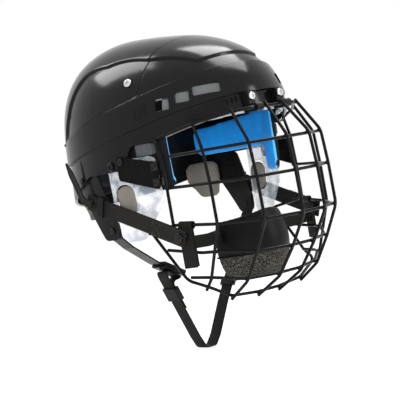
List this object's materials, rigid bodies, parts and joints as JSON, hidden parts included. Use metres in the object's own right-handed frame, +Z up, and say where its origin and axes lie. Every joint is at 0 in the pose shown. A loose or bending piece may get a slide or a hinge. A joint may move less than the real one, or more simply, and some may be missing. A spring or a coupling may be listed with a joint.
{
  "type": "ice hockey helmet",
  "caption": "Padded ice hockey helmet with a rear shell that slides to fit, ear guards, a chin strap and a wire face cage that swings up.",
  "frame": {"origin": "middle of the head space, between the ears, in the plane of symmetry", "axes": "+Z up, the face looks along -Y, +X is the wearer's left"},
  "size_m": [0.224, 0.3411, 0.3566],
  "materials": {
    "shell": "glossy injection-moulded shell",
    "foam": "closed-cell foam, dark",
    "vent_foam": "closed-cell foam, grey",
    "blue_pad": "skinned comfort foam, blue",
    "grey_pad": "skinned comfort foam, grey",
    "pale_strip": "skinned sweat band, pale grey",
    "clear_plastic": "clear polycarbonate",
    "wire": "black satin coated steel wire",
    "clip": "moulded nylon, black",
    "block": "moulded rubber, grey",
    "panel": "flexible vinyl, black",
    "chrome": "chrome plated",
    "rivet": "black rivets",
    "webbing": "woven nylon webbing",
    "buckle": "moulded acetal, black",
    "cup_shell": "moulded cup shell, black",
    "mesh_pad": "mesh covered foam"
  },
  "bodies": {
    "root": {"front_shell": "shell", "front_liner": "foam", "vent_foams": "vent_foam", "brow_pad": "blue_pad", "brow_strip": "pale_strip", "side_pad_left": "blue_pad", "side_pad_right": "blue_pad", "nape_pads": "grey_pad", "ear_guard_left": "clear_plastic", "ear_guard_right": "clear_plastic", "ear_pads": "grey_pad", "guard_screws": "rivet", "temple_blocks": "block", "brow_clip_left": "clip", "brow_clip_right": "clip", "clip_screws": "chrome", "temple_panel_left": "panel", "temple_panel_right": "panel", "panel_rivets": "rivet", "panel_hooks": "clip", "side_strap_left": "webbing", "side_strap_right": "webbing", "anchor_left": "buckle", "anchor_right": "buckle", "anchor_rivets": "rivet", "strap_snaps": "rivet", "strap_keepers": "buckle", "strap_tails": "webbing", "chin_bar": "buckle", "chin_buckle": "buckle", "chin_strap": "webbing"},
    "rear": {"rear_shell": "shell", "rear_liner": "foam", "crown_pad": "foam", "occipital_pad": "foam", "size_screws": "chrome", "size_nuts": "chrome"},
    "cage": {"cage_bar_1": "wire", "cage_bar_2": "wire", "cage_bar_3": "wire", "cage_bar_4": "wire", "cage_bar_5": "wire", "cage_bar_6": "wire", "cage_bar_7": "wire", "cage_upright_1_left": "wire", "cage_upright_1_right": "wire", "cage_upright_2_left": "wire", "cage_upright_2_right": "wire", "cage_upright_3_left": "wire", "cage_upright_3_right": "wire", "cage_upright_4_left": "wire", "cage_upright_4_right": "wire", "cage_tab_left": "webbing", "cage_tab_right": "webbing", "chin_cup": "cup_shell", "cup_pad": "mesh_pad", "cup_straps": "webbing"},
    "adjuster": {"chin_adjuster": "buckle"},
    "keeper": {"chin_keeper": "buckle"}
  },
  "joints": [
    {"name": "size_slide", "type": "slide", "parent": "root", "child": "rear", "axis": [0, 1, 0], "range_m": [0, 0.008]},
    {"name": "cage_swing", "type": "hinge", "parent": "root", "child": "cage", "pos_m": [0, -0.17861, 0.06796], "axis": [-1, 0, 0], "range_deg": [0, 95]},
    {"name": "adjuster_slide", "type": "slide", "parent": "root", "child": "adjuster", "axis": [0.385, 0, -0.9229], "range_m": [0, 0.01]},
    {"name": "keeper_slide", "type": "slide", "parent": "root", "child": "keeper", "axis": [0.5489, 0, 0.8359], "range_m": [-0.01, 0.03]}
  ]
}
